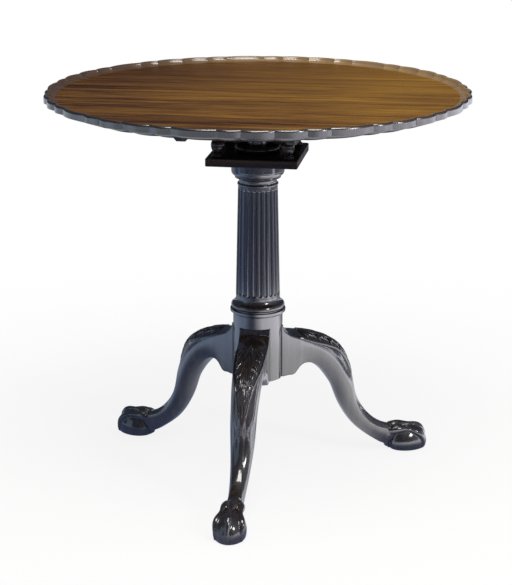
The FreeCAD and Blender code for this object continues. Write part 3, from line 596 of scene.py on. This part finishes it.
turns = [math.radians(FAN_START + (FAN_END - FAN_START) * k / FAN_STEPS) for k in range(FAN_STEPS + 1)]
spine = [knee_ray(turn, 0)[0] for turn in turns]
marks = [0.0]
for a, b in zip(spine, spine[1:]):
    marks.append(marks[-1] + (b - a).length)


def between(value, xs, ys):
    """The value of a line through a few points."""
    for x0, x1, y0, y1 in zip(xs, xs[1:], ys, ys[1:]):
        if value <= x1:
            break
    part = min(max((value - x0) / (x1 - x0), 0), 1)
    return y0 + (y1 - y0) * part


def on_knee(along, across, lift):
    """A point on the knee, by its two measures, lifted off the wood."""
    place, normal = knee_ray(between(along, marks, turns), across)
    return place + lift * normal


print("length of the knee:", round(marks[-1], 4))

# %% [markdown]
# ## Carved leaves
# Each knee has an acanthus leaf in low relief: pairs of curling fingers in tiers along a midrib,
# a long last leaf that points down the shin, and a bead along both edges.
# The carver first outlines each finger, then hollows it with a gouge, so a finger is arched across
# with a groove down its middle, and it rises towards its tip.
# Each one here is a small grid bent to that section along a curve.
# A bump in the finish would give lines but no shadows or outline.

# %% One finger of a leaf
FINGER_ALONG, FINGER_ACROSS = 22, 10
SUNK = 0.0006
SKIN = 0.0016
STEM_WIDTH, STEM_HEIGHT = 0.35, 0.45
BELLY_RATE, BELLY_POWER = 1.15, 0.8
FULL_HEIGHT_AT = 0.8
GROOVE_HALF = 0.3
ROUND_SIDES, ROUND_TIP, BLUNT_TIP = 4, 5, 9


def finger_width(t):
    """Half width along a finger, as a share of its widest: a stem, a belly and a round tip."""
    belly = math.sin(math.pi * min(t * BELLY_RATE, 1)) ** BELLY_POWER
    return (STEM_WIDTH + (1 - STEM_WIDTH) * belly) * (1 - t ** ROUND_TIP) ** 0.5


def finger_height(t, s, groove):
    """Height at a share of the length and of the half width, as a share of the highest."""
    arch = (1 - s ** ROUND_SIDES) * (1 - groove * math.exp(-(s / GROOVE_HALF) ** 2))
    rise = math.sin(math.pi / 2 * min(t / FULL_HEIGHT_AT, 1))
    return arch * (STEM_HEIGHT + (1 - STEM_HEIGHT) * rise) * (1 - t ** BLUNT_TIP)


def finger(shell, path, width, height, groove):
    """A finger on a curve with three points, base, bend and tip, each given as (along, across)."""
    relief = shell.verts.layers.float["relief"]
    base, bend, tip = (Vector(point) for point in path)
    made = bmesh.ops.create_grid(shell, x_segments=FINGER_ALONG, y_segments=FINGER_ACROSS, size=1.0)
    for vert in made["verts"]:
        t, s = (vert.co.x + 1) / 2, vert.co.y
        middle = (1 - t) ** 2 * base + 2 * t * (1 - t) * bend + t ** 2 * tip
        heading = (2 * (1 - t) * (bend - base) + 2 * t * (tip - bend)).normalized()
        spot = middle + s * width * finger_width(t) * Vector((-heading.y, heading.x))
        lift = (height + SUNK) * finger_height(t, s, groove) - SUNK
        vert.co = on_knee(spot.x, spot.y, lift)
        vert[relief] = max(lift, 0) / height


print("a finger has", FINGER_ALONG * FINGER_ACROSS, "faces")

# %% [markdown]
# ## Laying out the leaf
# The tiers start wide at the ear and narrow with the knee, so a finger's reach across is a share
# of the face's half width where it ends. That half width is given at a few marks of the ruler.
# Three fingers to a side in each tier overlap like shingles, each given by its reach along,
# its share across and its half width. Placing every finger by hand would take a long list.
# Two more pairs, the last leaf and the midrib finish it, and a thin skin makes each grid a closed solid.

# %% The carved knees
FACE_AT = (0.0, 0.026, 0.054, 0.085, 0.113, 0.141, 0.177)
FACE_HALF = (0.0275, 0.0272, 0.0265, 0.0240, 0.0185, 0.0118, 0.0068)
TIERS = (0.012, 0.043, 0.074, 0.103)
TIER_FINGERS = ((0.014, 0.84, 0.0046), (0.033, 0.72, 0.0052), (0.050, 0.38, 0.0050))
TIER_HEIGHT, TIER_GROOVE = 0.0034, 0.4
REACH_AT_EAR, WIDTH_AT_EAR, WIDTH_LOSS = 1.15, 1.1, 2.5
BEND_ALONG, BEND_ACROSS = 0.25, 0.75
LOWER_PAIRS = (
    ((0.112, 0.001), (0.124, 0.009), (0.152, 0.0070), 0.0036, 0.0030),
    ((0.122, 0.001), (0.138, 0.006), (0.165, 0.0038), 0.0030, 0.0028),
)
LOWER_GROOVE = 0.35
LEAF_END = 0.172
LAST_LEAF = ((0.104, 0), (0.140, 0), (LEAF_END, 0))
LAST_HALF, LAST_HEIGHT, LAST_GROOVE = 0.0034, 0.0032, 0.3
MIDRIB = ((0.004, 0), (0.060, 0), (0.118, 0))
RIB_HALF, RIB_HEIGHT = 0.0021, 0.0026

leaf = bmesh.new()
leaf.verts.layers.float.new("relief")
for tier in TIERS:
    for side in (-1, 1):
        for reach, share, half in TIER_FINGERS:
            end = tier + reach * (REACH_AT_EAR - tier)
            edge = side * share * between(end, FACE_AT, FACE_HALF)
            bend = (tier + BEND_ALONG * reach, BEND_ACROSS * edge)
            path = ((tier, side * RIB_HALF), bend, (end, edge))
            finger(leaf, path, half * (WIDTH_AT_EAR - WIDTH_LOSS * tier), TIER_HEIGHT, TIER_GROOVE)
for side in (-1, 1):
    for *path, half, height in LOWER_PAIRS:
        finger(leaf, [(along, side * across) for along, across in path], half, height, LOWER_GROOVE)
finger(leaf, LAST_LEAF, LAST_HALF, LAST_HEIGHT, LAST_GROOVE)
finger(leaf, MIDRIB, RIB_HALF, RIB_HEIGHT, 0.0)
bmesh.ops.solidify(leaf, geom=leaf.faces[:], thickness=SKIN)
bmesh.ops.recalc_face_normals(leaf, faces=leaf.faces)
carvings = turned_copies(leaf, "knee_carving")
print("faces in one carving:", len(leaf.faces))
leaf.free()

# %% [markdown]
# ## Edge beads
# A thin bead runs down each side of the carved face, from the ear to where the face dies into the shin.
# It is the line that parts the dark upper face from the plain side of the leg.
# It is one long grid with a round section, which sinks into the wood at both ends.
# A tube along a curve would leave gaps under it; here every point is measured from the wood.

# %% Edge beads
BEAD_ALONG, BEAD_ACROSS = 110, 8
BEAD_HALF, BEAD_HEIGHT = 0.0013, 0.0011
BEAD_FADE = 12

bead = bmesh.new()
relief = bead.verts.layers.float.new("relief")
for side in (-1, 1):
    made = bmesh.ops.create_grid(bead, x_segments=BEAD_ALONG, y_segments=BEAD_ACROSS, size=1.0)
    for vert in made["verts"]:
        along = LEAF_END * (vert.co.x + 1) / 2
        fade = min(1, (1 - abs(vert.co.x)) * BEAD_FADE)
        across = between(along, FACE_AT, FACE_HALF) - BEAD_HALF + BEAD_HALF * vert.co.y
        lift = (BEAD_HEIGHT + SUNK) * fade * math.sqrt(max(0, 1 - vert.co.y ** 2)) - SUNK
        vert.co = on_knee(along, side * across, lift)
        vert[relief] = max(lift, 0) / BEAD_HEIGHT
bmesh.ops.solidify(bead, geom=bead.faces[:], thickness=SKIN)
bmesh.ops.recalc_face_normals(bead, faces=bead.faces)
beads = turned_copies(bead, "knee_bead")
print("faces in one pair of beads:", len(bead.faces))
bead.free()

# %% [markdown]
# ## The top's mahogany
# The top is one board of mahogany, cut so that its grain runs from side to side.
# Its look comes from layers at different scales: broad bands, a wavy figure, fine straight streaks
# and short dark pores, over a slow change of tone, and a painted sheen turns it from red-brown at the left
# to paler gold at the back right.
# The back half of the board is calmer than the front. Noise stretched along X gives each layer.
# Rings from a wave pattern would look like plain-sawn pine.

# %% Grain of the top
BAND_SHARE, STREAK_SHARE, FIGURE_SHARE = 0.16, 0.66, 0.22
PATTERN_MEAN = 0.485
# The sheen values paint the light's sheen into the board's colour, towards the back right.
SLOW_SHARE, SHEEN_SHARE, TONE_START = 0.18, 0.12, 0.331
SHEEN_FROM = (-0.30, 0.30)
SHEEN_SLANT, SHEEN_CALM = 0.4, 0.14
CALM_FROM, BACK_CALM = (-0.12, 0.16), 0.42
WOOD_STOPS = ((0.36, (0.020, 0.007, 0.003)), (0.44, (0.078, 0.034, 0.012)),
              (0.51, (0.155, 0.074, 0.016)), (0.60, (0.265, 0.136, 0.020)))
PORE_FROM, PORE_SHARE = (0.60, 0.74), 0.45
PORE_COLOUR = (0.03, 0.012, 0.006, 1)

top_wood = Finish("mahogany_top")
bands = top_wood.noise((0.9, 26, 26), detail=3.0, rough=0.55, warp=0.6)
figure = top_wood.noise((6.5, 60, 60), detail=4.0, rough=0.62, warp=1.1, shift=(0, 1.7, 0))
streaks = top_wood.noise((2.6, 150, 150), detail=6.0, rough=0.72, warp=0.4)
pores = top_wood.noise((22, 800, 800), detail=2.0, rough=0.6)
slow = top_wood.noise((1.7, 2.4, 2.4), detail=2.0, rough=0.5, warp=0.4, shift=(3.1, 0, 0))
rightward = top_wood.part("X", top_wood.place())
backward = top_wood.part("Y", top_wood.place())
# Painted sheen: the board is made paler and more golden towards the back right, and its streaks fainter
# there.
painted_sheen = top_wood.step(rightward + SHEEN_SLANT * backward, *SHEEN_FROM)
lively = 1 - BACK_CALM * top_wood.step(backward, *CALM_FROM)
pattern = BAND_SHARE * bands + (STREAK_SHARE - SHEEN_CALM * painted_sheen) * streaks + FIGURE_SHARE * figure
tone = lively * (pattern - PATTERN_MEAN) + SLOW_SHARE * slow + SHEEN_SHARE * painted_sheen + TONE_START
pore_mask = top_wood.step(pores, *PORE_FROM)
board_colour = top_wood.mix(PORE_SHARE * pore_mask, top_wood.ramp(tone, *WOOD_STOPS), PORE_COLOUR)
print("nodes in the grain:", len(top_wood.tree.nodes))

# %% [markdown]
# ## Rim, edge and underside
# The same board has three other faces. The moulded rim and its cove have a thick, shiny polish,
# with a highlight painted into their colour that makes them paler to the right.
# The outer face of the rim is nearly black, and the underside is dull and painted dark, as shade under the
# top.
# Masks find them: the rim by its height above the dish and its distance from the middle,
# the outer face and the underside by the way they face.
# A material for each face would end in a hard line, where a mask can fade.

# %% Rim, edge and underside
COVE_START = (0.7083, 0.7096)
RIM_START = (0.352, 0.356)
OUTWARD_FROM, DOWNWARD_FROM = (0.0, 0.12), (0.5, 0.9)
COVE_LEFT, COVE_HIGHLIGHT = (0.070, 0.040, 0.020, 1), (0.300, 0.200, 0.095, 1)
EDGE_COLOUR, UNDER_SHADE = (0.012, 0.010, 0.010, 1), (0.020, 0.012, 0.008, 1)
COVE_SHARE, EDGE_SHARE, UNDER_SHADE_SHARE = 0.70, 0.90, 0.85

height = top_wood.part("Z", top_wood.place())
normal = top_wood.node("ShaderNodeTexCoord", out="Normal")
rim_mask = top_wood.step(height, *COVE_START).larger(top_wood.step(top_wood.from_axis(), *RIM_START))
outward = top_wood.measure("DOT_PRODUCT", normal, top_wood.place(LEVEL))
edge_mask = rim_mask * top_wood.step(outward, *OUTWARD_FROM)
# Painted shade: faces that turn down are darkened, as shade under the top.
under_shade_mask = top_wood.step(-top_wood.part("Z", normal), *DOWNWARD_FROM)
# Painted highlight: the cove's colour is made paler and more golden towards the back right.
cove_and_highlight = top_wood.mix(painted_sheen, COVE_LEFT, COVE_HIGHLIGHT)
top_colour = top_wood.mix(COVE_SHARE * rim_mask, board_colour, cove_and_highlight)
top_colour = top_wood.mix(EDGE_SHARE * edge_mask, top_colour, EDGE_COLOUR)
top_colour = top_wood.mix(UNDER_SHADE_SHARE * under_shade_mask, top_colour, UNDER_SHADE)
print("rim starts", RIM_START[0], "m from the middle")

# %% [markdown]
# ## Polish of the top
# The dish has a soft wax sheen, so its grain shows; the rim has a clear coat that mirrors the room.
# One gloss for both would drown the grain. The streaks stand a little proud and the pores are pits,
# which breaks the sheen up along the grain.

# %% Polish of the top
WAX_ROUGH, STREAK_ROUGH, RIM_SMOOTH = 0.34, 0.10, 0.06
WAX_COAT, RIM_COAT, EDGE_COAT = 0.01, 0.90, 0.09
STREAK_PROUD, PORE_DEEP = 0.6, 0.8

top_wood.set(Base_Color=top_colour, Specular_IOR_Level=0.02, Coat_Roughness=0.22, Coat_IOR=2.0)
top_wood.set(Roughness=WAX_ROUGH + STREAK_ROUGH * streaks - RIM_SMOOTH * rim_mask)
top_wood.set(Coat_Weight=WAX_COAT + RIM_COAT * rim_mask + EDGE_COAT * edge_mask)
surface = (STREAK_PROUD * streaks - PORE_DEEP * pore_mask) * (1 - rim_mask)
top_wood.bump(surface, distance=0.0002, strength=0.4)
top_wood.dress(nodes["tray_top"])
print("nodes in the top's finish:", len(top_wood.tree.nodes))

# %% [markdown]
# ## The base's mahogany
# The column and the legs are the same wood under layers of dark old polish, nearly black,
# with red-brown showing where hands and dusters have thinned it.
# The birdcage and the battens are nearly dull.
# A function takes the direction of the grain and the depth of the polish, so one recipe serves every piece.
# Carved pieces carry their own height as an attribute, and their high points are rubbed paler.

# %% Finish of the base
DARK_STOPS = ((0.36, (0.007, 0.006, 0.007)), (0.52, (0.014, 0.010, 0.009)), (0.72, (0.038, 0.019, 0.012)))
WORN = (0.085, 0.036, 0.016, 1)
WORN_SHARE, WORN_FROM = 0.40, (0.56, 0.78)
RUBBED_SHARE, RUBBED_FROM = 0.12, (0.5, 1)
BARE_ROUGH, POLISH_SMOOTH, THIN_ROUGH = 0.60, 0.20, 0.10
BASE_COAT, GRAIN_COAT, BASE_GLOSS = 0.80, 0.3, 0.35


def dark_mahogany(name, stretch, polish, rubbed=False):
    wood = Finish(name)
    grain = wood.noise(stretch, detail=4.0, rough=0.6, warp=0.3)
    thin = wood.noise((9, 9, 9), detail=4.0, rough=0.6, warp=0.8)
    if rubbed:
        relief = wood.node("ShaderNodeAttribute", {"attribute_name": "relief"}, out="Fac")
        worn = RUBBED_SHARE * wood.step(relief, *RUBBED_FROM)
    else:
        worn = WORN_SHARE * polish * wood.step(thin, *WORN_FROM)
    wood.set(Base_Color=wood.mix(worn, wood.ramp(grain, *DARK_STOPS), WORN))
    wood.set(Roughness=BARE_ROUGH - POLISH_SMOOTH * polish + THIN_ROUGH * thin)
    wood.set(Coat_Weight=polish * (BASE_COAT + GRAIN_COAT * grain), Coat_Roughness=0.12, Coat_IOR=2.0)
    wood.set(Specular_IOR_Level=BASE_GLOSS * polish)
    wood.bump(grain, distance=0.0003, strength=0.12)
    return wood


print("recipe for the dark wood ready")

# %% [markdown]
# ## Dark pieces
# The grain runs along each piece: up the column, the legs and the balusters, across the plates,
# and from front to back in the battens. Noise is drawn out along the grain,
# so the scale has its small number on that axis. One direction for all would run across some pieces.

# %% Dark pieces
GRAIN_UP, GRAIN_ACROSS, GRAIN_BACK = (110, 110, 3), (4, 110, 110), (110, 4, 110)
POLISHED, DULL = 1.0, 0.20

upright = dark_mahogany("mahogany_upright", GRAIN_UP, POLISHED)
carved = dark_mahogany("mahogany_carved", GRAIN_UP, POLISHED, rubbed=True)
dull_upright = dark_mahogany("mahogany_dull", GRAIN_UP, DULL)
dull_level = dark_mahogany("mahogany_plate", GRAIN_ACROSS, DULL)
dull_batten = dark_mahogany("mahogany_batten", GRAIN_BACK, DULL)
upright.dress(nodes["column"], *legs)
carved.dress(*carvings, *beads)
for corner in ("front_left", "front_right", "back_left", "back_right"):
    dull_upright.dress(nodes["baluster_" + corner])
for name in ("birdcage_upper_plate", "birdcage_lower_plate", "collar_ring", "locking_wedge"):
    dull_level.dress(nodes[name])
dull_batten.dress(nodes["batten_left"], nodes["batten_right"])
print("polished pieces:", 1 + len(legs) + len(carvings) + len(beads))

# %% [markdown]
# ## Brass and iron
# The catch and its strike plate are cast brass that has gone brown in places.
# The plate under the column is forged iron, and so are the screws in it and in the battens.
# Both metals take a worn, uneven polish from noise at two scales: stains, and fine scratches one way.
# One even colour would make them look new.

# %% Finish of the metals
BRASS_DARK, BRASS_BRIGHT, BRASS_ROUGH = (0.20, 0.12, 0.04), (0.62, 0.43, 0.17), 0.16
IRON_DARK, IRON_BRIGHT, IRON_ROUGH = (0.045, 0.040, 0.038), (0.20, 0.19, 0.19), 0.34
STAIN_FROM, STAIN_TO = 0.38, 0.62
STAIN_ROUGH, SCRATCH_ROUGH = 0.25, 0.08
STAIN_PROUD, SCRATCH_PROUD = 0.7, 0.3


def old_metal(name, dark, bright, rough):
    metal = Finish(name)
    stain = metal.noise((60, 60, 60), detail=4.0, rough=0.6, warp=0.4)
    scratch = metal.noise((900, 120, 900), detail=2.0, rough=0.6)
    metal.set(Base_Color=metal.ramp(stain, (STAIN_FROM, dark), (STAIN_TO, bright)), Metallic=1.0)
    metal.set(Roughness=rough + STAIN_ROUGH * stain + SCRATCH_ROUGH * scratch)
    metal.bump(STAIN_PROUD * stain + SCRATCH_PROUD * scratch, distance=0.0002, strength=0.4)
    return metal


brass = old_metal("brass", BRASS_DARK, BRASS_BRIGHT, BRASS_ROUGH)
iron = old_metal("iron", IRON_DARK, IRON_BRIGHT, IRON_ROUGH)
for name in ("strike_plate", "strike_screws", "catch_guide", "catch_screws", "catch_bolt", "catch_knob"):
    brass.dress(nodes[name])
for name in ("tripod_bracket", "bracket_screws", "batten_screws"):
    iron.dress(nodes[name])
print("metal pieces finished")

# %% [markdown]
# ## Colour management
# The view is left as plain as it can be, so that a colour looks the way it was written.

# %% Colour management
bpy.context.scene.view_settings.view_transform = "Standard"
